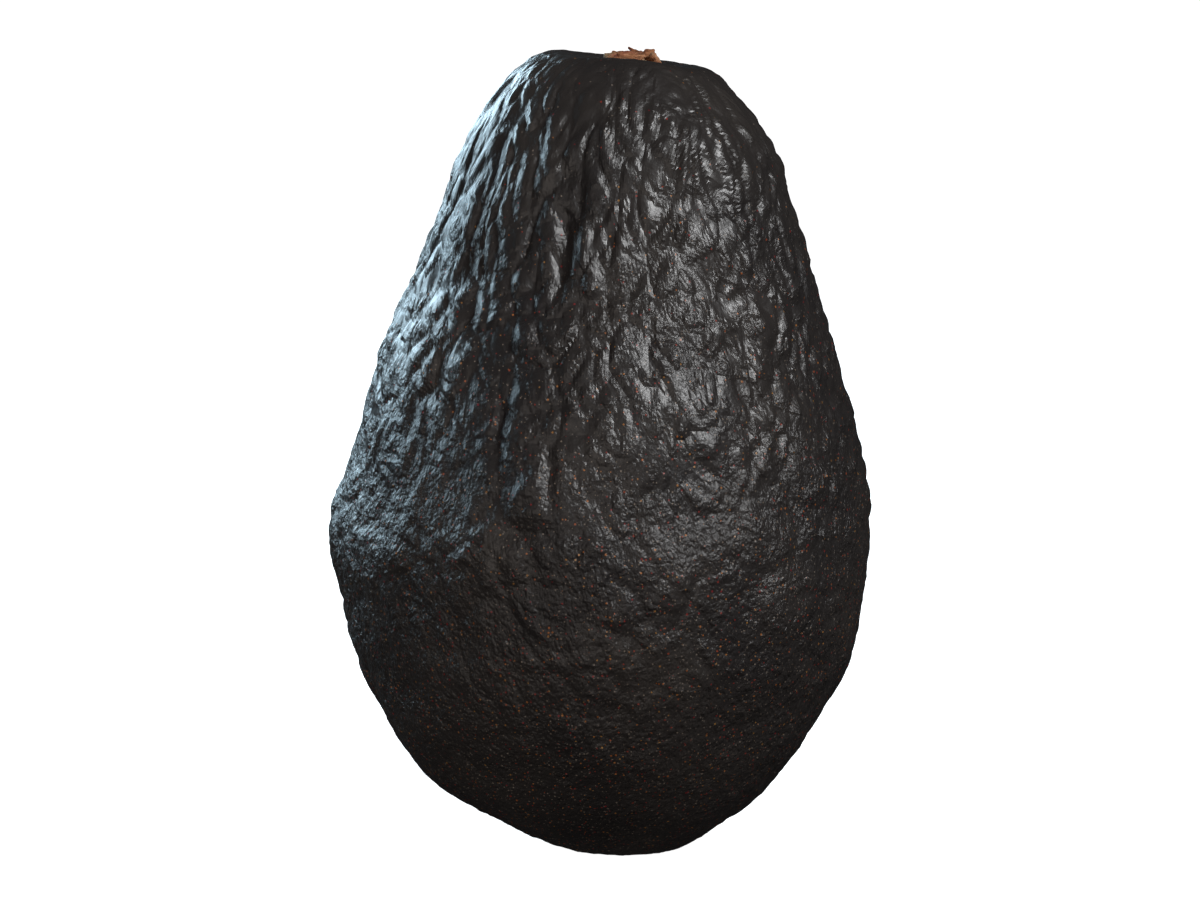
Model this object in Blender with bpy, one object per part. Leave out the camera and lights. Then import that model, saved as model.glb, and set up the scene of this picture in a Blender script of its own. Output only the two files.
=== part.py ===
"""A ripe avocado with a pebbled, near-black skin, standing on a small flat spot at its blunt end.

Metres, +Z up. The origin is the middle of the flat spot, and -Y is the fruit's front. The fruit is one
solid. The dry scrap of stem is another, seated in a shallow socket in the crown.
"""

import math

import bmesh
import bpy
from mathutils import Matrix, Vector, noise

MM = 0.001

# Driving dimensions
FRUIT_HEIGHT = 99.0 * MM
BELLY_WIDTH = 66.4 * MM
BELLY_DEPTH = 65.0 * MM
CROWN_TILT = math.radians(6.8)
CROWN_BACK = math.radians(1.8)
STEM_ACROSS = 7.8 * MM
STEM_GAP = 0.4 * MM

# The fruit's side, from under the flat spot up over the belly and neck to the dished crown. Each station
# gives the half-width and the sideways shift of its middle as shares of half the belly's width, and its
# height as a share of the fruit's height.
STATIONS = (
    (0.000, 0.000, -0.0050),
    (0.215, -0.012, 0.0000),
    (0.388, -0.042, 0.0265),
    (0.620, -0.072, 0.0780),
    (0.795, -0.060, 0.1520),
    (0.915, -0.060, 0.2350),
    (0.975, -0.070, 0.3200),
    (1.000, -0.080, 0.4050),
    (0.964, -0.056, 0.4850),
    (0.908, -0.045, 0.5600),
    (0.832, -0.042, 0.6360),
    (0.744, -0.030, 0.7170),
    (0.669, -0.022, 0.7980),
    (0.590, 0.003, 0.8780),
    (0.502, 0.017, 0.9330),
    (0.395, 0.024, 0.9735),
    (0.292, 0.030, 0.9950),
    (0.184, 0.033, 0.9930),
    (0.080, 0.033, 0.9880),
    (0.000, 0.033, 0.9860),
)
TILT_STARTS = 0.80
TILT_FULL = 0.98

# A slightly three-cornered section keeps the fruit from looking turned on a lathe.
CORNERS = 3
CORNER_RISE = 0.012
CORNER_TURN = math.radians(35)

# Three places far apart, from which a pattern's wandering in each direction is read
WANDER_PLACES = (Vector((31.4, 0.7, 5.2)), Vector((2.3, 47.1, 8.6)), Vector((9.8, 3.5, 61.9)))
# Lumps: the skin's pebbles, long up the side and divided by creases
LUMPS_ROUND = 44
LUMPS_UP = 24
LUMP_WANDER = 0.9
CREASE = 0.60
CREASE_SHARE = 0.45
LUMP_RISE = 0.72 * MM
LUMP_MEAN = 0.5
# Flutes: long strips between furrows
FLUTES_ROUND = 26
FLUTES_UP = 15
FLUTE_WANDER = 0.5
FURROW = 0.25
FLUTE_RISE = 0.22 * MM
FLUTE_MEAN = 0.6
# How near each end of the fruit these and the swells fade out, as a share of its side
POLE_REACH = 0.16
# How bold the lumps and flutes are at each share of the way up the side, from the base to the crown
BOLDNESS = (
    (0.00, 0.05),
    (0.17, 0.30),
    (0.30, 0.56),
    (0.42, 0.74),
    (0.52, 0.90),
    (0.70, 1.00),
    (0.78, 0.85),
    (0.84, 0.50),
    (0.90, 0.12),
    (1.00, 0.10),
)

# Broad swells and smaller knolls, which leave no stretch of the outline quite fair
SWELL_ACROSS = 26 * MM
SWELL_RISE = 1.1 * MM
KNOLL_ACROSS = 9 * MM
KNOLL_RISE = 0.48 * MM

# The net of squares that carries the skin
SKIN_CUTS = 29

# Single bosses and hollows of this fruit's front: height, degrees to the right of the front, half-width,
# half-length and rise, all lengths in millimetres
LANDMARKS = (
    ("elbow of the belly", 40.5, -88, 6.0, 7.5, 0.9),
    ("hanging boss", 49.5, -14, 4.6, 5.0, 1.2),
    ("groove in the boss", 50.0, -11, 0.9, 4.0, -0.5),
    ("hollow under the boss", 44.0, -14, 4.2, 1.4, -0.8),
    ("crease beside the boss", 57.0, -24, 1.1, 5.0, -0.6),
    ("lower boss", 42.5, -25, 4.2, 3.6, 0.7),
    ("knuckle of the shoulder", 91.0, 28, 4.5, 5.6, 0.8),
    ("crease under the knuckle", 83.0, 24, 6.0, 1.2, -0.25),
    ("long furrow of the neck", 76.0, -12, 1.0, 6.5, -0.8),
    ("ridge beside the furrow", 84.0, -18, 1.5, 6.0, 0.5),
    ("second ridge", 76.0, -5, 1.3, 5.0, 0.45),
    ("swell over the belly", 57.0, 15, 8.5, 7.5, 0.7),
    ("pit on the left of the neck", 76.0, -47, 1.2, 2.0, -0.8),
    ("lower pit on the left", 68.5, -40, 1.6, 2.4, -0.6),
    ("long ridge on the right", 77.0, 45, 1.2, 11.0, 0.4),
)
# They lie on the front: none rises past this depth, as a share of the belly's
FRONT_ENDS = 0.2
BELLY_SHIFT = STATIONS[7][1] * BELLY_WIDTH / 2

# The socket in the crown and the scrap of stem that it holds
SOCKET_DEEP = 1.9 * MM
STEM_RISE = 1.9 * MM
STEM_ROUGH = 0.35 * MM
STEM_FRAY = 0.09
STEM_GRAIN = 2.6
STEM_AT = 0.033 * BELLY_WIDTH / 2
# Torn flakes, narrower at their free ends: turn, lean and twist in degrees, then how far out and how far up
# their roots are, and how long, wide and thick they are, in millimetres
FLAKES = (
    (184, 94, 10, 0.6, 1.2, 2.9, 1.6, 0.7),
    (-8, 6, -8, 1.9, 0.4, 2.0, 1.7, 1.5),
    (-25, 135, 0, 2.6, 1.9, 1.5, 1.6, 0.6),
    (176, 72, 6, -0.9, 1.7, 1.6, 1.1, 0.45),
    (100, 88, -15, 1.2, 1.3, 2.0, 1.7, 0.6),
)
FLAKE_TAPER = 0.62
FLAKE_EDGE = 0.12 * MM


def smooth(share):
    """0 to 1 along an S, for a share that may lie outside them."""
    share = min(1.0, max(0.0, share))
    return share * share * (3 - 2 * share)


def along(table, share):
    """The value at a share of the way along a table of (share, value) pairs."""
    for (low, before), (high, after) in zip(table, table[1:]):
        if share <= high:
            return before + (after - before) * smooth((share - low) / (high - low))
    return table[-1][1]


def knots_of(points):
    """Places of the points along their own curve, by the square root of each step, from 0 to 1."""
    places = [0.0]
    for before, after in zip(points, points[1:]):
        places.append(places[-1] + math.sqrt((after - before).length))
    return [place / places[-1] for place in places]


def curve_through(points, knots, share):
    """The point at a share of the way along one smooth curve through the points."""
    last = len(points) - 2
    step = next((i for i in range(last) if share <= knots[i + 1]), last)
    before = points[step - 1] if step else Vector((-points[1].x, points[1].y, points[1].z))
    after = points[step + 2] if step < last else Vector((-points[-2].x, points[-2].y, points[-2].z))
    line = [before, points[step], points[step + 1], after]
    at = [knots[step], knots[step + 1]]
    at.insert(0, at[0] - (knots[1] if not step else knots[step] - knots[step - 1]))
    at.append(at[2] + (knots[-1] - knots[-2] if step == last else knots[step + 2] - knots[step + 1]))

    def blend(pair, first, second):
        return pair[0] + (pair[1] - pair[0]) * ((share - at[first]) / (at[second] - at[first]))

    legs = [blend(line[i : i + 2], i, i + 1) for i in range(3)]
    bends = [blend(legs[i : i + 2], i, i + 2) for i in range(2)]
    return blend(bends, 1, 2)


SIDE = [Vector((width, shift, height)) for width, shift, height in STATIONS]
SIDE_SIZES = Vector((BELLY_WIDTH / 2, BELLY_WIDTH / 2, FRUIT_HEIGHT))
SIDE_POINTS = [Vector(a * b for a, b in zip(point, SIDE_SIZES)) for point in SIDE]
SIDE_KNOTS = knots_of(SIDE_POINTS)


def tilted(point):
    """The point after the crown has been leant over to the right and a little to the back."""
    lean = smooth((point.z / FRUIT_HEIGHT - TILT_STARTS) / (TILT_FULL - TILT_STARTS))
    drop = math.tan(CROWN_TILT) * (point.x - STEM_AT) + math.tan(CROWN_BACK) * point.y
    return Vector((point.x, point.y, point.z - drop * lean))


def body_point(turn, climb):
    """A point of the fair body, before any relief, by its turn round the fruit and its climb up the side."""
    half, shift, height = curve_through(SIDE_POINTS, SIDE_KNOTS, climb)
    half *= 1 + CORNER_RISE * math.cos(CORNERS * (turn - CORNER_TURN)) * math.sin(math.pi * climb)
    depth = half * BELLY_DEPTH / BELLY_WIDTH
    return tilted(Vector((shift + half * math.cos(turn), depth * math.sin(turn), height)))


def drum(turn, climb, cells_round, cells_up):
    """A place on a drum that is closed at both ends, so that a pattern on it has no seam."""
    girth = cells_round / math.tau * smooth(climb / POLE_REACH) * smooth((1 - climb) / POLE_REACH)
    return Vector((girth * math.cos(turn), girth * math.sin(turn), cells_up * climb))


def wander(place):
    """A vector that drifts from place to place."""
    return Vector(noise.noise(place + away) for away in WANDER_PLACES)


def lumps(turn, climb):
    """The skin's lumps: 0 in the creases between them, 1 on their backs."""
    place = drum(turn, climb, LUMPS_ROUND, LUMPS_UP)
    place += LUMP_WANDER * wander(place * 0.6)
    near, next_near = noise.voronoi(place)[0][:2]
    crease = smooth((next_near - near) / CREASE)
    return CREASE_SHARE * crease + (1 - CREASE_SHARE) * (1 - near * near)


def flutes(turn, climb):
    """Long strips up the side, 1 on their backs and 0 in the furrows between them."""
    place = drum(turn, climb, FLUTES_ROUND, FLUTES_UP)
    place += FLUTE_WANDER * wander(place * 0.8)
    return smooth(abs(noise.noise(place)) / FURROW)


def landmarks(point):
    """The rise of the fruit's own bosses and hollows at a point of its side."""
    if point.y > FRONT_ENDS * BELLY_DEPTH:
        return 0.0
    turn = math.atan2(point.x - BELLY_SHIFT, -point.y)
    total = 0.0
    for _, height, angle, width, length, rise in LANDMARKS:
        across = (turn - math.radians(angle)) * math.hypot(point.x, point.y) / (width * MM)
        up = (point.z - height * MM) / (length * MM)
        total += rise * MM * math.exp(-across * across - up * up)
    return total


def relief(point, turn, climb):
    """How far the skin stands out from the fair body."""
    broad = SWELL_RISE * noise.noise(point / SWELL_ACROSS) + KNOLL_RISE * noise.noise(point / KNOLL_ACROSS)
    skin = LUMP_RISE * (lumps(turn, climb) - LUMP_MEAN) + FLUTE_RISE * (flutes(turn, climb) - FLUTE_MEAN)
    fade = smooth(climb / POLE_REACH) * smooth((1 - climb) / POLE_REACH)
    return broad * fade + skin * along(BOLDNESS, climb) + landmarks(point)


def ball_of_squares(cuts):
    """A cube cut into a grid and blown up to a unit ball, so that its squares stay nearly even."""
    mesh = bmesh.new()
    bmesh.ops.create_cube(mesh, size=2)
    bmesh.ops.subdivide_edges(mesh, edges=mesh.edges[:], cuts=cuts, use_grid_fill=True)
    for vertex in mesh.verts:
        vertex.co = Vector(math.tan(side * math.pi / 4) for side in vertex.co).normalized()
    return mesh


def stand_on_flat_spot(mesh):
    """Cuts off what hangs below the ground and closes the cut with one flat face."""
    everything = mesh.verts[:] + mesh.edges[:] + mesh.faces[:]
    bmesh.ops.bisect_plane(mesh, geom=everything, plane_co=(0, 0, 0), plane_no=(0, 0, -1), clear_outer=True)
    rim = [edge for edge in mesh.edges if edge.is_boundary]
    bmesh.ops.edgeloop_fill(mesh, edges=rim)


def finished(name, mesh, material, collection):
    """The mesh as a smooth-shaded object of the collection."""
    data = bpy.data.meshes.new(name)
    bmesh.ops.recalc_face_normals(mesh, faces=mesh.faces[:])
    mesh.to_mesh(data)
    mesh.free()
    data.shade_smooth()
    data.materials.append(material)
    obj = bpy.data.objects.new(name, data)
    collection.objects.link(obj)
    return obj


def principled(name, colour, roughness):
    material = bpy.data.materials.new(name)
    material.use_nodes = True
    shader = material.node_tree.nodes["Principled BSDF"]
    shader.inputs["Base Color"].default_value = (*colour, 1)
    shader.inputs["Roughness"].default_value = roughness
    shader.inputs["Metallic"].default_value = 0
    return material


def boolean(obj, operation, **what):
    modifier = obj.modifiers.new(operation.lower(), "BOOLEAN")
    modifier.operation = operation
    modifier.solver = "EXACT"
    for field, value in what.items():
        setattr(modifier, field, value)


def crown_frame():
    """The place of the socket's mouth: the middle of the crown's dish, leant with the crown."""
    lean = Matrix.Rotation(-CROWN_BACK, 4, "X") @ Matrix.Rotation(CROWN_TILT, 4, "Y")
    return Matrix.Translation(body_point(0, 1)) @ lean


def make_socket(cutters):
    """The bowl that is cut out of the crown for the scrap of stem."""
    mesh = bmesh.new()
    bmesh.ops.create_uvsphere(mesh, u_segments=28, v_segments=14, radius=1)
    wide = STEM_ACROSS / 2 + STEM_GAP
    bmesh.ops.transform(mesh, verts=mesh.verts, matrix=Matrix.Diagonal((wide, wide, SOCKET_DEEP, 1)))
    bmesh.ops.transform(mesh, verts=mesh.verts, matrix=crown_frame())
    socket = finished("socket_cutter", mesh, None, cutters)
    socket.hide_render = True
    socket.display_type = "WIRE"
    return socket


def make_fruit(collection, cutters, material):
    """The whole fruit: the fair body, its relief, the flat spot and the socket in its crown."""
    mesh = ball_of_squares(SKIN_CUTS)
    places = []
    for vertex in mesh.verts:
        turn = math.atan2(vertex.co.y, vertex.co.x)
        climb = math.acos(max(-1.0, min(1.0, -vertex.co.z))) / math.pi
        places.append((vertex, turn, climb))
    for vertex, turn, climb in places:
        vertex.co = body_point(turn, climb)
    mesh.normal_update()
    rises = [relief(vertex.co, turn, climb) for vertex, turn, climb in places]
    for (vertex, _, _), rise in zip(places, rises):
        vertex.co += vertex.normal * rise
    stand_on_flat_spot(mesh)
    fruit = finished("fruit", mesh, material, collection)
    boolean(fruit, "DIFFERENCE", operand_type="OBJECT", object=make_socket(cutters))
    return fruit


def make_flake(turn, lean, twist, out, up, length, width, thick):
    """One torn flake of bark: a wedge that stands out of the scrap, thin at its free end."""
    mesh = bmesh.new()
    bmesh.ops.create_cube(mesh, size=1)
    for vertex in mesh.verts:
        taper = FLAKE_TAPER if vertex.co.z > 0 else 1.0
        vertex.co.x *= thick * MM * taper
        vertex.co.y *= width * MM * taper
        vertex.co.z = (vertex.co.z + 0.5) * length * MM
    bmesh.ops.bevel(mesh, geom=mesh.edges[:], offset=FLAKE_EDGE, segments=1, affect="EDGES")
    pose = Matrix.Rotation(math.radians(turn), 4, "Z") @ Matrix.Translation((out * MM, 0, up * MM))
    pose @= Matrix.Rotation(math.radians(lean), 4, "Y") @ Matrix.Rotation(math.radians(twist), 4, "Z")
    bmesh.ops.transform(mesh, verts=mesh.verts, matrix=crown_frame() @ pose)
    return mesh


def make_stem(collection, cutters, material):
    """The dry scrap of stem: a low cushion that fills the socket, torn rough on top, with its flakes."""
    mesh = bmesh.new()
    bmesh.ops.create_uvsphere(mesh, u_segments=28, v_segments=14, radius=1)
    wide = STEM_ACROSS / 2
    for vertex in mesh.verts:
        rough = noise.fractal(vertex.co * STEM_GRAIN, 0.8, 2.0, 3)
        rim = 1 - abs(vertex.co.z)
        high = STEM_RISE if vertex.co.z > 0 else SOCKET_DEEP - STEM_GAP
        outward = wide * (1 - STEM_FRAY * abs(rough) * rim)
        top = max(0.0, vertex.co.z) * STEM_ROUGH * rough
        vertex.co = Vector((vertex.co.x * outward, vertex.co.y * outward, vertex.co.z * high + top))
    bmesh.ops.transform(mesh, verts=mesh.verts, matrix=crown_frame())
    stem = finished("stem_scrap", mesh, material, collection)
    torn = bpy.data.collections.new("stem_flakes")
    cutters.children.link(torn)
    for number, flake in enumerate(FLAKES):
        piece = finished(f"flake_{number}", make_flake(*flake), material, torn)
        piece.hide_render = True
        piece.display_type = "WIRE"
    boolean(stem, "UNION", operand_type="COLLECTION", collection=torn)
    return stem


def clear_scene():
    for obj in list(bpy.data.objects):
        bpy.data.objects.remove(obj, do_unlink=True)


def main():
    clear_scene()
    avocado = bpy.data.collections.new("avocado")
    cutters = bpy.data.collections.new("cutters")
    for collection in (avocado, cutters):
        bpy.context.scene.collection.children.link(collection)
    skin = principled("skin", (0.020, 0.017, 0.016), 0.42)
    bark = principled("dry_stem", (0.17, 0.075, 0.035), 0.85)
    make_fruit(avocado, cutters, skin)
    make_stem(avocado, cutters, bark)


main()
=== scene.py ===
import math

import bpy
from mathutils import Matrix, Vector, noise


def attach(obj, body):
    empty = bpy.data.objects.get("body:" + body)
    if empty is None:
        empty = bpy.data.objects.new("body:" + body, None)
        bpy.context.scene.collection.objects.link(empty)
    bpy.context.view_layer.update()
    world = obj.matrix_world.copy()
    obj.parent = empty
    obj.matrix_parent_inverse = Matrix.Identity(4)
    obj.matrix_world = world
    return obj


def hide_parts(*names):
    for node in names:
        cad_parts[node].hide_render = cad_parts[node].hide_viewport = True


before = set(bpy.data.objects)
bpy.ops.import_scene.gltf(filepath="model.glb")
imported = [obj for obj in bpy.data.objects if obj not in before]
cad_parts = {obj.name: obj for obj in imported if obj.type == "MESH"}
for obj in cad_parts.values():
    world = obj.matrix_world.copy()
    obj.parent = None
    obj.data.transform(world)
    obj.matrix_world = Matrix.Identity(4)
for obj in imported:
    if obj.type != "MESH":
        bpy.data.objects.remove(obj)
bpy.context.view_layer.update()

MM = 0.001

# Driving dimensions, as the fruit was built
FRUIT_HEIGHT = 99.0 * MM
BELLY_WIDTH = 66.4 * MM
BELLY_DEPTH = 65.0 * MM
CROWN_TILT = math.radians(6.8)
CROWN_BACK = math.radians(1.8)
STEM_ACROSS = 7.8 * MM
STEM_GAP = 0.4 * MM

# The fruit's side, from under the flat spot up over the belly and neck to the dished crown. Each station
# gives the half-width and the sideways shift of its middle as shares of half the belly's width, and its
# height as a share of the fruit's height.
STATIONS = (
    (0.000, 0.000, -0.0050),
    (0.215, -0.012, 0.0000),
    (0.388, -0.042, 0.0265),
    (0.620, -0.072, 0.0780),
    (0.795, -0.060, 0.1520),
    (0.915, -0.060, 0.2350),
    (0.975, -0.070, 0.3200),
    (1.000, -0.080, 0.4050),
    (0.964, -0.056, 0.4850),
    (0.908, -0.045, 0.5600),
    (0.832, -0.042, 0.6360),
    (0.744, -0.030, 0.7170),
    (0.669, -0.022, 0.7980),
    (0.590, 0.003, 0.8780),
    (0.502, 0.017, 0.9330),
    (0.395, 0.024, 0.9735),
    (0.292, 0.030, 0.9950),
    (0.184, 0.033, 0.9930),
    (0.080, 0.033, 0.9880),
    (0.000, 0.033, 0.9860),
)
TILT_STARTS = 0.80
TILT_FULL = 0.98
STEM_AT = 0.033 * BELLY_WIDTH / 2

# A slightly three-cornered section keeps the fruit from looking turned on a lathe.
CORNERS = 3
CORNER_RISE = 0.012
CORNER_TURN = math.radians(35)

# Three places far apart, from which a pattern's wandering in each direction is read
WANDER_PLACES = (Vector((31.4, 0.7, 5.2)), Vector((2.3, 47.1, 8.6)), Vector((9.8, 3.5, 61.9)))
# Lumps: the skin's pebbles, long up the side and divided by creases
LUMPS_ROUND = 44
LUMPS_UP = 24
LUMP_WANDER = 0.9
CREASE = 0.60
CREASE_SHARE = 0.45
LUMP_RISE = 0.72 * MM
LUMP_MEAN = 0.5
# Flutes: long strips between furrows
FLUTES_ROUND = 26
FLUTES_UP = 15
FLUTE_WANDER = 0.5
FURROW = 0.25
FLUTE_RISE = 0.22 * MM
FLUTE_MEAN = 0.6
# How near each end of the fruit these and the swells fade out, as a share of its side
POLE_REACH = 0.16
# How bold the lumps and flutes are at each share of the way up the side, from the base to the crown
BOLDNESS = (
    (0.00, 0.05),
    (0.17, 0.30),
    (0.30, 0.56),
    (0.42, 0.74),
    (0.52, 0.90),
    (0.70, 1.00),
    (0.78, 0.85),
    (0.84, 0.50),
    (0.90, 0.12),
    (1.00, 0.10),
)

# Broad swells and smaller knolls, which leave no stretch of the outline quite fair
SWELL_ACROSS = 26 * MM
SWELL_RISE = 1.1 * MM
KNOLL_ACROSS = 9 * MM
KNOLL_RISE = 0.48 * MM

# Single bosses and hollows of this fruit's front: height, degrees to the right of the front, half-width,
# half-length and rise, all lengths in millimetres
LANDMARKS = (
    ("elbow of the belly", 40.5, -88, 6.0, 7.5, 0.9),
    ("hanging boss", 49.5, -14, 4.6, 5.0, 1.2),
    ("groove in the boss", 50.0, -11, 0.9, 4.0, -0.5),
    ("hollow under the boss", 44.0, -14, 4.2, 1.4, -0.8),
    ("crease beside the boss", 57.0, -24, 1.1, 5.0, -0.6),
    ("lower boss", 42.5, -25, 4.2, 3.6, 0.7),
    ("knuckle of the shoulder", 91.0, 28, 4.5, 5.6, 0.8),
    ("crease under the knuckle", 83.0, 24, 6.0, 1.2, -0.25),
    ("long furrow of the neck", 76.0, -12, 1.0, 6.5, -0.8),
    ("ridge beside the furrow", 84.0, -18, 1.5, 6.0, 0.5),
    ("second ridge", 76.0, -5, 1.3, 5.0, 0.45),
    ("swell over the belly", 57.0, 15, 8.5, 7.5, 0.7),
    ("pit on the left of the neck", 76.0, -47, 1.2, 2.0, -0.8),
    ("lower pit on the left", 68.5, -40, 1.6, 2.4, -0.6),
    ("long ridge on the right", 77.0, 45, 1.2, 11.0, 0.4),
)
# They lie on the front: none rises past this depth, as a share of the belly's
FRONT_ENDS = 0.2
BELLY_SHIFT = STATIONS[7][1] * BELLY_WIDTH / 2

# The fine skin's net: a cube whose edges are halved this many times
SKIN_HALVINGS = 7

# Drips: small lumps on the long ones, which rise towards their lower lip and drop sharply under it
DRIP_ACROSS = 2.7 * MM
DRIP_STRETCH = 1.4
DRIP_WANDER = 0.9
DRIP_WANDER_GRAIN = 0.7
DRIP_CREASE = 0.60
LIP_SHARE = 0.6
DRIP_RISE = 0.24 * MM
DRIP_MEAN = 0.36
# How bold the drips are at each share of the way up the side
DRIPS_BOLDNESS = (
    (0.00, 0.15),
    (0.25, 0.35),
    (0.45, 0.80),
    (0.60, 1.00),
    (0.78, 0.80),
    (0.88, 0.15),
    (1.00, 0.00),
)
# Crinkles, the finest relief that the net of squares carries
CRINKLE_ACROSS = 0.85 * MM
CRINKLE_STRETCH = 1.2
CRINKLE_WANDER = 0.8
CRINKLE_WANDER_GRAIN = 0.35
CRINKLE_UNEVEN = 0.8
CRINKLE_UNEVEN_GRAIN = 0.7
CRINKLE_RISE = 0.16 * MM
CRINKLE_MEAN = 0.6
# How crinkled the skin is all over, and how much more so in patches, on the drips' lips and low down
CRINKLED_ALL_OVER = 0.08
CRINKLED_PATCHES = 0.30
CRINKLED_LIPS = 0.50
CRINKLED_LOW = 0.60
PATCHES_ROUND = 16
PATCHES_UP = 11
PATCH_CONTRAST = 1.6
# Where lips set in down a drip, and over what share of it
LIP_FROM = 0.45
LIP_OVER = 0.35
# Where the low, crinkled part starts to end up the side, and over what share of it
LOW_FROM = 0.3
LOW_OVER = 0.35
# How much calmer the skin is near the crown, where that sets in, and over what share of the side
CROWN_CALM = 0.6
CALM_FROM = 0.66
CALM_OVER = 0.14

# The socket in the crown and the scrap of stem that it holds
SOCKET_DEEP = 1.9 * MM
STEM_RISE = 1.9 * MM
BOWL_RINGS = 24
# Torn flakes: turn, lean and twist in degrees, then how far out and how far up their roots are, and how
# long, wide and thick they are, in millimetres
FLAKES = (
    ("low flake on the left", 184, 94, 10, 0.6, 1.2, 2.9, 1.6, 0.7),
    ("block on the right", -8, 6, -8, 1.9, 0.4, 2.0, 1.7, 1.5),
    ("slanting leg", -25, 135, 0, 2.6, 1.9, 1.7, 1.6, 0.5),
    ("thin chip", 176, 72, 6, -0.9, 1.8, 1.6, 1.1, 0.28),
    ("front flake", -70, 98, 24, 0.9, 1.6, 2.3, 1.8, 0.5),
    ("back flake", 100, 88, -15, 1.2, 1.3, 2.0, 1.7, 0.6),
    ("back splinter", 140, 92, 30, 1.4, 1.5, 1.8, 0.7, 0.4),
    ("front splinter", -125, 98, -20, 1.0, 1.65, 2.2, 0.7, 0.35),
)
FLAKE_TAPER = 0.7
# The dark hollow under the block, in front: its place from the socket's middle and its half-sizes, in
# millimetres
HOLLOW_PLACE = (2.0, -2.9, 1.2)
HOLLOW_SIZES = (1.2, 1.9, 0.45)
HOLLOW_RINGS = 12
# The grid that fuses the scrap, and the fibres that roughen it: waves a millimetre along, across and up
STEM_GRID = 0.11 * MM
BARK_RISE = 0.16 * MM
BARK_WAVES = (0.9, 2.6, 2.2)
BARK_FADE = 0.7
BARK_STEP = 2.1
BARK_LAYERS = 4
# How far below the socket's rim the bark's roughness has faded out, in millimetres
BARK_ENDS = 0.8

# Skin finish: a brown-black ground whose tone drifts, darker and rougher to lighter and glossier. Scales of
# patterns are in cells a metre.
TONE_SCALE = 60
DARK_AT = 0.3
LIGHT_AT = 0.7
GROUND_DARK = (0.013, 0.0113, 0.0113)
GROUND_LIGHT = (0.0275, 0.0236, 0.0213)
ROUGH_DARK = 0.39
ROUGH_LIGHT = 0.32
# Dots: how far one reaches in its cell, and what share of cells has one high up and low down
DOT_REACH = 0.18
DOTS_FEWEST_AT = 85 * MM
DOTS_MOST_AT = 15 * MM
DOTS_FEWEST = 0.10
DOTS_MOST = 0.9
PALE_CELLS = 2300
PALE_COLOURS = (
    (0.0, (0.07, 0.058, 0.05)),
    (1.0, (0.15, 0.12, 0.095)),
)
RUST_CELLS = 1900
RUST_SHARE = 0.7
RUST_COLOURS = (
    (0.00, (0.15, 0.011, 0.015)),
    (0.45, (0.19, 0.030, 0.016)),
    (0.60, (0.26, 0.078, 0.020)),
    (1.00, (0.23, 0.115, 0.032)),
)
# The finest wrinkles, a little taller than wide
WRINKLE_SQUASH = (1, 1, 0.8)
FOLD_SCALE = 1100
FOLD_WEIGHT = 1.5
GRAIN_SCALE = 1800
GRAIN_WEIGHT = 1.2
WRINKLE_DEEP = 0.27 * MM

# Bark finish: browns along the fibres, and the tints that drift over them
FIBRE_SCALE = 1300
FIBRE_STRETCH = (0.5, 1, 1)
BARK_BROWNS = (
    (0.32, (0.10, 0.042, 0.020)),
    (0.50, (0.29, 0.122, 0.055)),
    (0.68, (0.47, 0.240, 0.130)),
)
TINT_SCALE = 420
BARK_TINTS = (
    (0.36, (0.62, 0.40, 0.48)),
    (0.48, (1, 1, 1)),
    (0.58, (1, 1, 1)),
    (0.68, (0.85, 1.35, 1.7)),
)
SPLINTER_SCALE = 2600
SPLINTER_STRETCH = (0.4, 1, 1)
SPLINTER_DEEP = 0.12 * MM

# Camera: the photo's viewpoint, 600 mm from the fruit and a little above it
PHOTO_WIDTH_PX = 1200
PX_PER_MM = 8.03
VIEW_DISTANCE = 600 * MM
VIEW_RISE = math.radians(7.0)
AIM = Vector((-2.74 * MM, 0, 50 * MM))
SENSOR = 36.0
NEAREST_SEEN = 0.01

# Floor and studio: the floor's width, the greys of the room from below to above, and what the gloss sees
FLOOR_WIDTH = 60
FLOOR_GREY = 0.9
ROOM_GREYS = (
    (0.1, 0.05),
    (0.5, 0.26),
    (1.0, 0.06),
)
ROOM_COOLNESS = 1.03
DARK_IN_GLOSS = (0.012, 0.012, 0.013, 1)
WHITE = (1, 1, 1, 1)
# Soft lights: degrees to the right of the front and degrees up, then distance, width and height in metres,
# power in watts, colour, and whether the gloss shows the light
LIGHTS = (
    ("window", -136, 18.5, 0.62, 0.66, 0.16, 3.7, (0.62, 0.85, 1.0), True),
    ("fill", -20, 12, 1.2, 0.5, 0.5, 2.4, (1.0, 0.97, 0.94), False),
    ("card", -20, -4, 0.9, 0.9, 0.55, 1.55, (1.0, 0.90, 0.82), True),
    ("key", 51, 37, 0.75, 0.08, 0.29, 2.9, (0.98, 0.99, 1.0), True),
    ("key_halo", 51, 39, 0.77, 0.16, 0.43, 2.2, (0.98, 0.99, 1.0), True),
)
LIGHT_AIM = Vector((0, 0, 55 * MM))


def smooth(share):
    """0 to 1 along an S, for a share that may lie outside them."""
    share = min(1.0, max(0.0, share))
    return share * share * (3 - 2 * share)


def along(table, share):
    """The value at a share of the way along a table of (share, value) pairs."""
    for (low, before), (high, after) in zip(table, table[1:]):
        if share <= high:
            return before + (after - before) * smooth((share - low) / (high - low))
    return table[-1][1]


def knots_of(points):
    """Places of the points along their own curve, by the square root of each step, from 0 to 1."""
    places = [0.0]
    for before, after in zip(points, points[1:]):
        places.append(places[-1] + math.sqrt((after - before).length))
    return [place / places[-1] for place in places]


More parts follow.
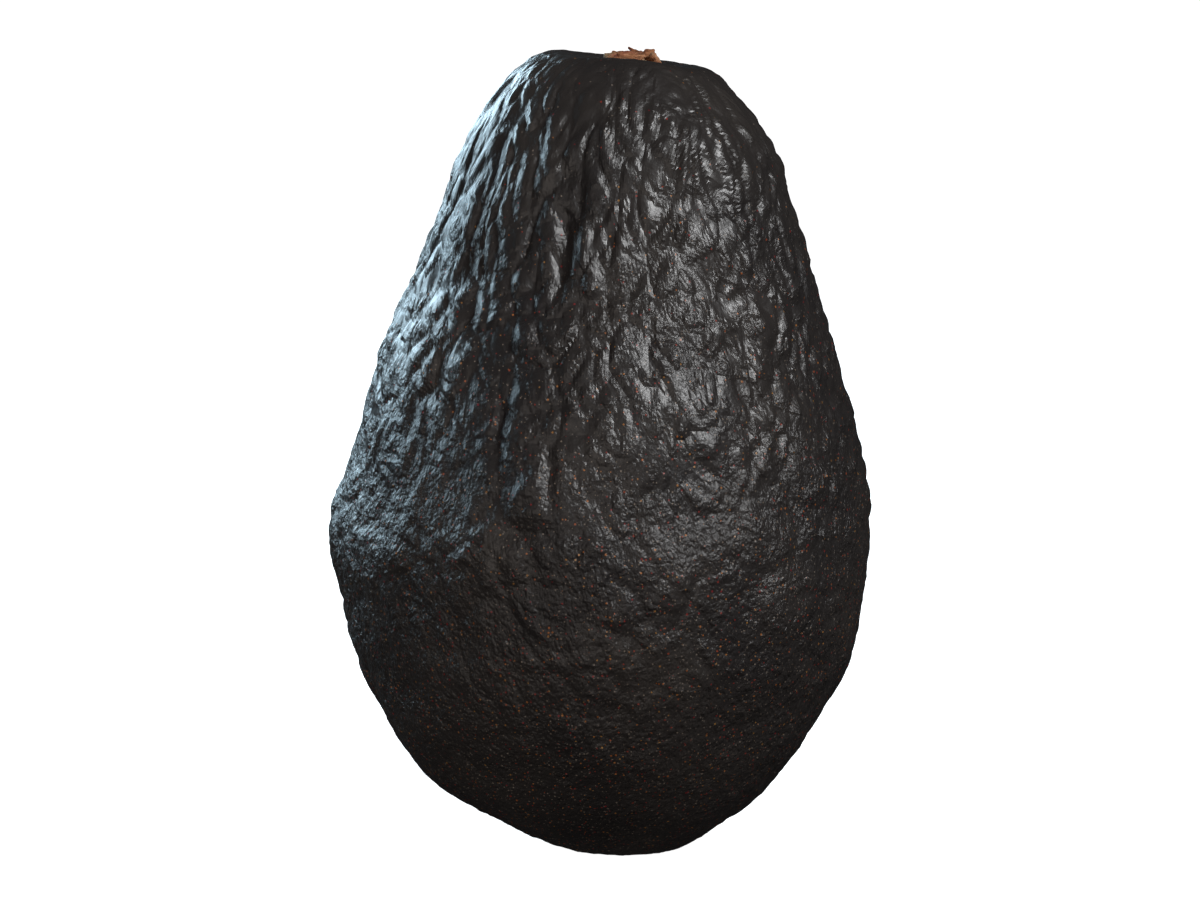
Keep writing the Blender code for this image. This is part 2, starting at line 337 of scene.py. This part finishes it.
def curve_through(points, knots, share):
    """The point at a share of the way along one smooth curve through the points."""
    last = len(points) - 2
    step = next((i for i in range(last) if share <= knots[i + 1]), last)
    before = points[step - 1] if step else Vector((-points[1].x, points[1].y, points[1].z))
    after = points[step + 2] if step < last else Vector((-points[-2].x, points[-2].y, points[-2].z))
    line = [before, points[step], points[step + 1], after]
    at = [knots[step], knots[step + 1]]
    at.insert(0, at[0] - (knots[1] if not step else knots[step] - knots[step - 1]))
    at.append(at[2] + (knots[-1] - knots[-2] if step == last else knots[step + 2] - knots[step + 1]))

    def blend(pair, first, second):
        return pair[0] + (pair[1] - pair[0]) * ((share - at[first]) / (at[second] - at[first]))

    legs = [blend(line[i : i + 2], i, i + 1) for i in range(3)]
    bends = [blend(legs[i : i + 2], i, i + 2) for i in range(2)]
    return blend(bends, 1, 2)


SIDE = [Vector((width, shift, height)) for width, shift, height in STATIONS]
SIDE_SIZES = Vector((BELLY_WIDTH / 2, BELLY_WIDTH / 2, FRUIT_HEIGHT))
SIDE_POINTS = [Vector(a * b for a, b in zip(point, SIDE_SIZES)) for point in SIDE]
SIDE_KNOTS = knots_of(SIDE_POINTS)


def tilted(point):
    """The point after the crown has been leant over to the right and a little to the back."""
    lean = smooth((point.z / FRUIT_HEIGHT - TILT_STARTS) / (TILT_FULL - TILT_STARTS))
    drop = math.tan(CROWN_TILT) * (point.x - STEM_AT) + math.tan(CROWN_BACK) * point.y
    return Vector((point.x, point.y, point.z - drop * lean))


def body_point(turn, climb):
    """A point of the fair body, before any relief, by its turn round the fruit and its climb up it."""
    half, shift, height = curve_through(SIDE_POINTS, SIDE_KNOTS, climb)
    half *= 1 + CORNER_RISE * math.cos(CORNERS * (turn - CORNER_TURN)) * math.sin(math.pi * climb)
    depth = half * BELLY_DEPTH / BELLY_WIDTH
    return tilted(Vector((shift + half * math.cos(turn), depth * math.sin(turn), height)))


def drum(turn, climb, cells_round, cells_up):
    """A place on a drum that is closed at both ends, so that a pattern on it has no seam."""
    girth = cells_round / math.tau * smooth(climb / POLE_REACH) * smooth((1 - climb) / POLE_REACH)
    return Vector((girth * math.cos(turn), girth * math.sin(turn), cells_up * climb))


def wander(place):
    """A vector that drifts from place to place."""
    return Vector(noise.noise(place + away) for away in WANDER_PLACES)


def lumps(turn, climb):
    """The skin's lumps: 0 in the creases between them, 1 on their backs."""
    place = drum(turn, climb, LUMPS_ROUND, LUMPS_UP)
    place += LUMP_WANDER * wander(place * 0.6)
    near, next_near = noise.voronoi(place)[0][:2]
    crease = smooth((next_near - near) / CREASE)
    return CREASE_SHARE * crease + (1 - CREASE_SHARE) * (1 - near * near)


def flutes(turn, climb):
    """Long strips up the side, 1 on their backs and 0 in the furrows between them."""
    place = drum(turn, climb, FLUTES_ROUND, FLUTES_UP)
    place += FLUTE_WANDER * wander(place * 0.8)
    return smooth(abs(noise.noise(place)) / FURROW)


def landmarks(point):
    """The rise of the fruit's own bosses and hollows at a point of its side."""
    if point.y > FRONT_ENDS * BELLY_DEPTH:
        return 0.0
    turn = math.atan2(point.x - BELLY_SHIFT, -point.y)
    total = 0.0
    for _, height, angle, width, length, rise in LANDMARKS:
        across = (turn - math.radians(angle)) * math.hypot(point.x, point.y) / (width * MM)
        up = (point.z - height * MM) / (length * MM)
        total += rise * MM * math.exp(-across * across - up * up)
    return total


def relief(point, turn, climb):
    """How far the skin stands out from the fair body, at the scale that the solid carries."""
    broad = SWELL_RISE * noise.noise(point / SWELL_ACROSS) + KNOLL_RISE * noise.noise(point / KNOLL_ACROSS)
    skin = LUMP_RISE * (lumps(turn, climb) - LUMP_MEAN) + FLUTE_RISE * (flutes(turn, climb) - FLUTE_MEAN)
    fade = smooth(climb / POLE_REACH) * smooth((1 - climb) / POLE_REACH)
    return broad * fade + skin * along(BOLDNESS, climb) + landmarks(point)


def cells(point, across, stretch):
    """The point in a pattern's own units, so that its cells have one size all over the fruit."""
    return Vector((point.x, point.y, point.z / stretch)) / across


def drips(point):
    """How high the drips stand, 0 in the creases between them to 1 on their lips, and how far down its own
    drip the place is, 0 to 1."""
    place = cells(point, DRIP_ACROSS, DRIP_STRETCH)
    place += DRIP_WANDER * wander(place * DRIP_WANDER_GRAIN)
    reaches, middles = noise.voronoi(place)
    down = min(1.0, max(0.0, 0.5 + middles[0].z - place.z))
    crease = smooth((reaches[1] - reaches[0]) / DRIP_CREASE)
    return crease * (1 - LIP_SHARE + LIP_SHARE * down * down), down


def crinkles(point):
    """Tiny nodules with sharp creases between them, about 0 to 1."""
    place = cells(point, CRINKLE_ACROSS, CRINKLE_STRETCH)
    place += CRINKLE_WANDER * wander(place * CRINKLE_WANDER_GRAIN)
    near = noise.voronoi(place)[0][0]
    return (1 - near * near) * (1 + CRINKLE_UNEVEN * noise.noise(place * CRINKLE_UNEVEN_GRAIN))


def crinkled(turn, climb, down):
    """How crinkled the skin is, 0 to 1: most along the lips of the drips, in patches and low down."""
    patch = smooth(0.5 + PATCH_CONTRAST * noise.noise(drum(turn, climb, PATCHES_ROUND, PATCHES_UP)))
    lip = smooth((down - LIP_FROM) / LIP_OVER)
    low = 1 - smooth((climb - LOW_FROM) / LOW_OVER)
    calm = smooth((climb - CALM_FROM) / CALM_OVER)
    share = CRINKLED_ALL_OVER + CRINKLED_PATCHES * patch
    share += CRINKLED_LIPS * lip * along(BOLDNESS, climb)
    share += CRINKLED_LOW * low
    return (1 - CROWN_CALM * calm) * min(1.0, share)


def fine_relief(point, turn, climb):
    """What the fine skin adds to the solid's relief, and how crinkled it is."""
    rise, down = drips(point)
    crinkle = crinkled(turn, climb, down)
    rise = DRIP_RISE * along(DRIPS_BOLDNESS, climb) * (rise - DRIP_MEAN)
    return rise + CRINKLE_RISE * crinkle * (crinkles(point) - CRINKLE_MEAN), crinkle


def deselect():
    """Leaves nothing selected."""
    for obj in bpy.context.selected_objects:
        obj.select_set(False)


def crown_frame():
    """The place of the socket's mouth: the middle of the crown's dish, leant with the crown."""
    lean = Matrix.Rotation(-CROWN_BACK, 4, "X") @ Matrix.Rotation(CROWN_TILT, 4, "Y")
    return Matrix.Translation(body_point(0, 1)) @ lean


def bowl(name, place, sizes, rings):
    """A closed ball pulled to three half-sizes, at a place in the crown's frame."""
    deselect()
    bpy.ops.mesh.primitive_uv_sphere_add(segments=2 * rings, ring_count=rings, radius=1)
    piece = bpy.context.object
    piece.name = name
    piece.data.transform(crown_frame() @ Matrix.Translation(place) @ Matrix.Diagonal((*sizes, 1)))
    return piece


def cut(piece, cutter):
    """Takes the cutter out of the piece."""
    modifier = piece.modifiers.new("cut", "BOOLEAN")
    modifier.operation = "DIFFERENCE"
    modifier.object = cutter
    bpy.context.view_layer.objects.active = piece
    bpy.ops.object.modifier_apply(modifier="cut")
    bpy.data.objects.remove(cutter, do_unlink=True)


def make_fruit():
    """The fruit's fine skin: a ball of squares pulled to the fair body, raised by its relief and cut flat
    where it stands."""
    deselect()
    bpy.ops.mesh.primitive_cube_add(size=2)
    fruit = bpy.context.object
    fruit.name = "avocado_skin"
    halve = fruit.modifiers.new("halve", "SUBSURF")
    halve.subdivision_type = "SIMPLE"
    halve.levels = halve.render_levels = SKIN_HALVINGS
    bpy.ops.object.modifier_apply(modifier="halve")
    mesh = fruit.data
    places = []
    for vertex in mesh.vertices:
        ball = Vector(math.tan(side * math.pi / 4) for side in vertex.co).normalized()
        turn = math.atan2(ball.y, ball.x)
        climb = math.acos(max(-1.0, min(1.0, -ball.z))) / math.pi
        places.append((turn, climb))
        vertex.co = body_point(turn, climb)
    mesh.update()
    outward = [Vector(vertex.normal) for vertex in mesh.vertices]
    crinkle = []
    for vertex, normal, (turn, climb) in zip(mesh.vertices, outward, places):
        rise, share = fine_relief(vertex.co, turn, climb)
        vertex.co += normal * (rise + relief(vertex.co, turn, climb))
        crinkle.append(share)
    mesh.attributes.new("crinkle", "FLOAT", "POINT").data.foreach_set("value", crinkle)
    bpy.ops.object.mode_set(mode="EDIT")
    bpy.ops.mesh.select_all(action="SELECT")
    bpy.ops.mesh.bisect(plane_co=(0, 0, 0), plane_no=(0, 0, -1), use_fill=True, clear_outer=True)
    bpy.ops.object.mode_set(mode="OBJECT")
    mouth = STEM_ACROSS / 2 + STEM_GAP
    cut(fruit, bowl("socket", (0, 0, 0), (mouth, mouth, SOCKET_DEEP), BOWL_RINGS))
    bpy.ops.object.shade_smooth()
    return fruit


def make_flake(turn, lean, twist, out, up, length, width, thick):
    """One torn flake of bark: a slab, narrower at its free end, with its root in the scrap."""
    deselect()
    bpy.ops.mesh.primitive_cube_add(size=1)
    piece = bpy.context.object
    for vertex in piece.data.vertices:
        taper = FLAKE_TAPER if vertex.co.z > 0 else 1.0
        vertex.co.x *= thick * MM * taper
        vertex.co.y *= width * MM * taper
        vertex.co.z = (vertex.co.z + 0.5) * length * MM
    pose = Matrix.Rotation(math.radians(turn), 4, "Z") @ Matrix.Translation((out * MM, 0, up * MM))
    pose @= Matrix.Rotation(math.radians(lean), 4, "Y") @ Matrix.Rotation(math.radians(twist), 4, "Z")
    piece.data.transform(crown_frame() @ pose)
    return piece


def fuse(pieces, body):
    """Joins the pieces to the body as one closed skin on a fine grid."""
    deselect()
    for piece in [*pieces, body]:
        piece.select_set(True)
    bpy.context.view_layer.objects.active = body
    bpy.ops.object.join()
    grid = body.modifiers.new("fuse", "REMESH")
    grid.mode = "VOXEL"
    grid.voxel_size = STEM_GRID
    bpy.ops.object.modifier_apply(modifier="fuse")


def make_stem():
    """The dry scrap of stem: a low cushion with torn flakes, fused and roughened into bark."""
    stem = bowl("stem_bark", (0, 0, 0), (STEM_ACROSS / 2, STEM_ACROSS / 2, STEM_RISE), BOWL_RINGS)
    deepest = SOCKET_DEEP - STEM_GAP
    from_crown = crown_frame()
    to_crown = from_crown.inverted()
    for vertex in stem.data.vertices:
        place = to_crown @ vertex.co
        if place.z < 0:
            place.z *= deepest / STEM_RISE
        vertex.co = from_crown @ place
    hollow_place = [value * MM for value in HOLLOW_PLACE]
    hollow_sizes = [value * MM for value in HOLLOW_SIZES]
    cut(stem, bowl("hollow", hollow_place, hollow_sizes, HOLLOW_RINGS))
    fuse([make_flake(*flake[1:]) for flake in FLAKES], stem)
    mesh = stem.data
    mesh.update()
    outward = [Vector(vertex.normal) for vertex in mesh.vertices]
    for vertex, normal in zip(mesh.vertices, outward):
        place = (to_crown @ vertex.co) / MM
        waves = Vector(count * length for count, length in zip(BARK_WAVES, place))
        fibres = noise.fractal(waves, BARK_FADE, BARK_STEP, BARK_LAYERS)
        shown = smooth((place.z + BARK_ENDS) / BARK_ENDS)
        vertex.co += normal * (BARK_RISE * shown * fibres)
    bpy.ops.object.shade_smooth()
    return stem


def new_material(name):
    """A new material, with its node tree and its shader."""
    material = bpy.data.materials.new(name)
    material.use_nodes = True
    return material, material.node_tree, material.node_tree.nodes["Principled BSDF"]


def feed(tree, socket, value):
    """Links an output to the socket, or sets the socket to a plain number or colour."""
    if isinstance(value, bpy.types.NodeSocket):
        tree.links.new(value, socket)
    else:
        socket.default_value = value


def add_node(tree, kind, inputs, **settings):
    """A node with its settings made and its inputs fed."""
    node = tree.nodes.new(kind)
    for name, value in settings.items():
        setattr(node, name, value)
    for name, value in inputs.items():
        feed(tree, node.inputs[name], value)
    return node


def sum_of(tree, operation, *values):
    """The outcome of one sum on numbers and outputs."""
    return add_node(tree, "ShaderNodeMath", dict(enumerate(values)), operation=operation).outputs[0]


def clouds(tree, place, scale, detail, rough):
    """Soft noise, 0 to 1."""
    inputs = {"Vector": place, "Scale": scale, "Detail": detail, "Roughness": rough}
    return add_node(tree, "ShaderNodeTexNoise", inputs).outputs["Fac"]


def stretched(tree, place, scale):
    """The place scaled along each axis."""
    return add_node(tree, "ShaderNodeMapping", {"Vector": place, "Scale": scale}).outputs["Vector"]


def ramp(tree, source, stops):
    """The source's value turned into a colour, by stops of (value, colour)."""
    node = add_node(tree, "ShaderNodeValToRGB", {"Fac": source})
    elements = node.color_ramp.elements
    while len(elements) < len(stops):
        elements.new(0.5)
    for element, (place, colour) in zip(elements, stops):
        element.position = place
        element.color = (*colour, 1)
    return node.outputs["Color"]


def laid_over(tree, factor, under, over, blend="MIX"):
    """One colour laid over another by a factor."""
    inputs = {"Factor": factor, "A": under, "B": over}
    return add_node(tree, "ShaderNodeMix", inputs, data_type="RGBA", blend_type=blend).outputs["Result"]


def dots(tree, place, count, share, colours, under):
    """The colour under with round dots over it: count of cells a metre, and the share of cells with one."""
    inputs = {"Vector": place, "Scale": count, "Detail": 0, "Roughness": 0.5}
    spots = add_node(tree, "ShaderNodeTexVoronoi", inputs)
    pick = add_node(tree, "ShaderNodeSeparateColor", {"Color": spots.outputs["Color"]})
    reach = sum_of(tree, "ADD", sum_of(tree, "MULTIPLY", pick.outputs["Blue"], DOT_REACH), DOT_REACH / 2)
    near = sum_of(tree, "LESS_THAN", spots.outputs["Distance"], reach)
    chosen = sum_of(tree, "LESS_THAN", pick.outputs["Red"], share)
    over = ramp(tree, pick.outputs["Green"], colours)
    return laid_over(tree, sum_of(tree, "MULTIPLY", near, chosen), under, over)


def skin_material():
    """Near-black waxy skin: brown-black ground, finely wrinkled, with tiny pale and rust dots."""
    material, tree, shader = new_material("avocado_skin")
    place = tree.nodes.new("ShaderNodeTexCoord").outputs["Object"]
    tone = clouds(tree, place, TONE_SCALE, 4, 0.6)
    colour = ramp(tree, tone, ((DARK_AT, GROUND_DARK), (LIGHT_AT, GROUND_LIGHT)))
    height = add_node(tree, "ShaderNodeSeparateXYZ", {"Vector": place}).outputs["Z"]
    by_height = {
        "Value": height,
        "From Min": DOTS_FEWEST_AT,
        "From Max": DOTS_MOST_AT,
        "To Min": DOTS_FEWEST,
        "To Max": DOTS_MOST,
    }
    dotted = add_node(tree, "ShaderNodeMapRange", by_height).outputs["Result"]
    colour = dots(tree, place, PALE_CELLS, dotted, PALE_COLOURS, colour)
    rusty = sum_of(tree, "MULTIPLY", dotted, RUST_SHARE)
    colour = dots(tree, place, RUST_CELLS, rusty, RUST_COLOURS, colour)
    feed(tree, shader.inputs["Base Color"], colour)

    tall = stretched(tree, place, WRINKLE_SQUASH)
    fold = sum_of(tree, "ABSOLUTE", sum_of(tree, "SUBTRACT", clouds(tree, tall, FOLD_SCALE, 1, 0.5), 0.5))
    grain = clouds(tree, tall, GRAIN_SCALE, 3, 0.62)
    fold = sum_of(tree, "MULTIPLY", fold, FOLD_WEIGHT)
    grain = sum_of(tree, "MULTIPLY", grain, GRAIN_WEIGHT)
    crinkle = add_node(tree, "ShaderNodeAttribute", {}, attribute_name="crinkle").outputs["Fac"]
    wrinkles = sum_of(tree, "MULTIPLY", sum_of(tree, "ADD", fold, grain), crinkle)
    relief_of_skin = {"Strength": 1.0, "Distance": WRINKLE_DEEP, "Height": wrinkles}
    bump = add_node(tree, "ShaderNodeBump", relief_of_skin)
    feed(tree, shader.inputs["Normal"], bump.outputs["Normal"])
    rough = ramp(tree, tone, ((DARK_AT, (ROUGH_DARK,) * 3), (LIGHT_AT, (ROUGH_LIGHT,) * 3)))
    feed(tree, shader.inputs["Roughness"], rough)
    shader.inputs["Specular IOR Level"].default_value = 0.5
    return material


def bark_material():
    """Dry, matt, torn bark: brown with dark, reddish and grey-olive patches and fine fibres."""
    material, tree, shader = new_material("stem_bark")
    place = tree.nodes.new("ShaderNodeTexCoord").outputs["Object"]
    fibres = clouds(tree, stretched(tree, place, FIBRE_STRETCH), FIBRE_SCALE, 4, 0.65)
    brown = ramp(tree, fibres, BARK_BROWNS)
    tints = ramp(tree, clouds(tree, place, TINT_SCALE, 2, 0.5), BARK_TINTS)
    feed(tree, shader.inputs["Base Color"], laid_over(tree, 1.0, brown, tints, "MULTIPLY"))
    splinters = clouds(tree, stretched(tree, place, SPLINTER_STRETCH), SPLINTER_SCALE, 3, 0.6)
    relief_of_bark = {"Strength": 0.8, "Distance": SPLINTER_DEEP, "Height": splinters}
    bump = add_node(tree, "ShaderNodeBump", relief_of_bark)
    feed(tree, shader.inputs["Normal"], bump.outputs["Normal"])
    shader.inputs["Roughness"].default_value = 0.85
    shader.inputs["Specular IOR Level"].default_value = 0.25
    return material


def make_camera():
    """The camera at the photo's viewing angle."""
    bpy.ops.object.camera_add()
    camera = bpy.context.object
    away = Vector((0, -math.cos(VIEW_RISE), math.sin(VIEW_RISE)))
    camera.location = AIM + away * VIEW_DISTANCE
    camera.rotation_euler = (math.pi / 2 - VIEW_RISE, 0, 0)
    camera.data.sensor_width = SENSOR
    camera.data.lens = SENSOR * PX_PER_MM * VIEW_DISTANCE / MM / PHOTO_WIDTH_PX
    camera.data.clip_start = NEAREST_SEEN
    bpy.context.scene.camera = camera


def make_floor():
    """A plain white floor that throws nothing back on the fruit."""
    deselect()
    bpy.ops.mesh.primitive_plane_add(size=FLOOR_WIDTH)
    floor = bpy.context.object
    floor.name = "floor"
    material, _, shader = new_material("floor")
    shader.inputs["Base Color"].default_value = (FLOOR_GREY, FLOOR_GREY, FLOOR_GREY, 1)
    shader.inputs["Roughness"].default_value = 1
    shader.inputs["Specular IOR Level"].default_value = 0
    shader.inputs["Emission Color"].default_value = WHITE
    shader.inputs["Emission Strength"].default_value = 1.0
    floor.data.materials.append(material)
    floor.visible_glossy = False
    floor.visible_diffuse = False
    floor.visible_shadow = False


def make_room():
    """The room round the fruit: dim greys that light it softly, dark in its gloss, white behind it."""
    world = bpy.data.worlds.new("studio")
    bpy.context.scene.world = world
    world.use_nodes = True
    tree = world.node_tree
    way = tree.nodes.new("ShaderNodeTexCoord").outputs["Generated"]
    up = add_node(tree, "ShaderNodeSeparateXYZ", {"Vector": way}).outputs["Z"]
    climb = sum_of(tree, "MULTIPLY_ADD", up, 0.5, 0.5)
    greys = [(place, (grey, grey, grey * ROOM_COOLNESS)) for place, grey in ROOM_GREYS]
    path = tree.nodes.new("ShaderNodeLightPath")
    colour = laid_over(tree, path.outputs["Is Glossy Ray"], ramp(tree, climb, greys), DARK_IN_GLOSS)
    colour = laid_over(tree, path.outputs["Is Camera Ray"], colour, WHITE)
    feed(tree, tree.nodes["Background"].inputs["Color"], colour)


def softbox(name, right, rise, distance, width, height, power, colour, in_gloss):
    """A soft light on a ball round the fruit."""
    right, rise = math.radians(right), math.radians(rise)
    away = Vector((math.sin(right) * math.cos(rise), -math.cos(right) * math.cos(rise), math.sin(rise)))
    bpy.ops.object.light_add(type="AREA", location=LIGHT_AIM + away * distance)
    light = bpy.context.object
    light.name = name
    light.rotation_euler = away.to_track_quat("Z", "Y").to_euler()
    light.data.shape = "RECTANGLE"
    light.data.size = width
    light.data.size_y = height
    light.data.energy = power
    light.data.color = colour
    light.visible_glossy = in_gloss


fruit = make_fruit()
fruit.data.materials.append(skin_material())
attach(fruit, "root")
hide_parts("fruit")
stem = make_stem()
stem.data.materials.append(bark_material())
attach(stem, "root")
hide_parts("stem_scrap")
make_camera()
make_floor()
make_room()
for light in LIGHTS:
    softbox(*light)
bpy.context.scene.view_settings.view_transform = "Standard"
